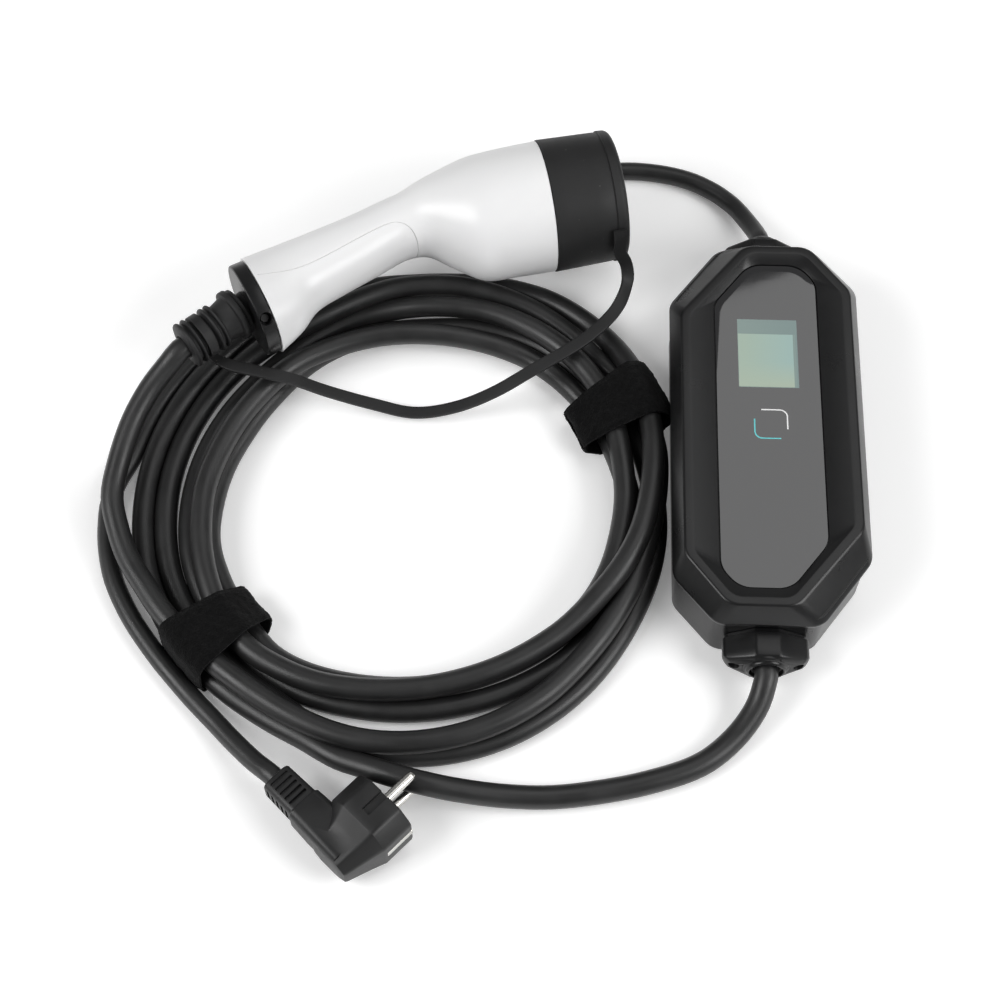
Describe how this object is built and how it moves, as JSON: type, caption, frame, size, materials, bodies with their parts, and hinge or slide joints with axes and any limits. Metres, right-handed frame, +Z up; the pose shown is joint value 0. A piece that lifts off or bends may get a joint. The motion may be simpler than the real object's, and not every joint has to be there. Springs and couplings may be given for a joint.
{
  "type": "portable ev charger",
  "caption": "Portable car charger: faceted control box with a display, coiled charging cable, capped vehicle connector on a tether, and a mains lead with a right-angle plug.",
  "frame": {"origin": "centre of the control box's flat back, on the surface it lies on", "axes": "+Z up, out of the display; +Y along the control box towards the mains lead; +X to the right of someone reading the display"},
  "size_m": [0.4095, 0.4432, 0.0876],
  "materials": {
    "black_housing": "satin black moulding",
    "tinted_glass": "glossy dark grey front sheet",
    "display": "pale green display",
    "white_shell": "satin white moulding",
    "black_rubber": "matte black rubber",
    "cable_jacket": "satin black cable jacket",
    "insulator": "black contact carrier",
    "nickel": "nickel plated brass",
    "zinc_steel": "zinc plated screws",
    "hook_and_loop": "fuzzy black hook-and-loop band",
    "seal_rubber": "black seal",
    "circuit_board": "green circuit board",
    "relay_case": "black relay case",
    "terminal_case": "green terminal block",
    "ferrite": "dark ferrite ring",
    "winding_tape": "yellow winding tape"
  },
  "bodies": {
    "root": {"base_shell": "black_housing", "front_cover": "black_housing", "mains_clamp": "black_housing", "outlet_clamp": "black_housing", "rear_collar": "black_housing", "front_glass": "tinted_glass", "lcd_display": "display", "upper_shell": "white_shell", "lower_shell": "white_shell", "strain_relief": "black_rubber", "dust_cap": "black_rubber", "cap_strap": "black_rubber", "plug_body": "black_rubber", "ev_lead_box": "cable_jacket", "ev_coil": "cable_jacket", "ev_lead_grip": "cable_jacket", "mains_lead": "cable_jacket", "front_shroud": "insulator", "contact_carrier": "insulator", "pilot_sleeve": "nickel", "proximity_sleeve": "nickel", "line_sleeve": "nickel", "earth_sleeve": "nickel", "neutral_sleeve": "nickel", "plug_pin_top": "nickel", "plug_pin_bottom": "nickel", "earth_strip_near": "nickel", "earth_strip_far": "nickel", "collar_screw": "zinc_steel", "case_screw_1": "zinc_steel", "case_screw_2": "zinc_steel", "case_screw_3": "zinc_steel", "case_screw_4": "zinc_steel", "case_screw_5": "zinc_steel", "case_screw_6": "zinc_steel", "mains_clamp_screw_1": "zinc_steel", "mains_clamp_screw_2": "zinc_steel", "outlet_clamp_screw_1": "zinc_steel", "outlet_clamp_screw_2": "zinc_steel", "strap_left": "hook_and_loop", "strap_right": "hook_and_loop", "cover_gasket": "seal_rubber", "mains_seal": "seal_rubber", "outlet_seal": "seal_rubber", "main_board": "circuit_board", "display_board": "circuit_board", "relay_line": "relay_case", "relay_neutral": "relay_case", "terminal_mains": "terminal_case", "terminal_outlet": "terminal_case", "leakage_sensor": "ferrite", "supply_transformer": "winding_tape"}
  },
  "joints": []
}
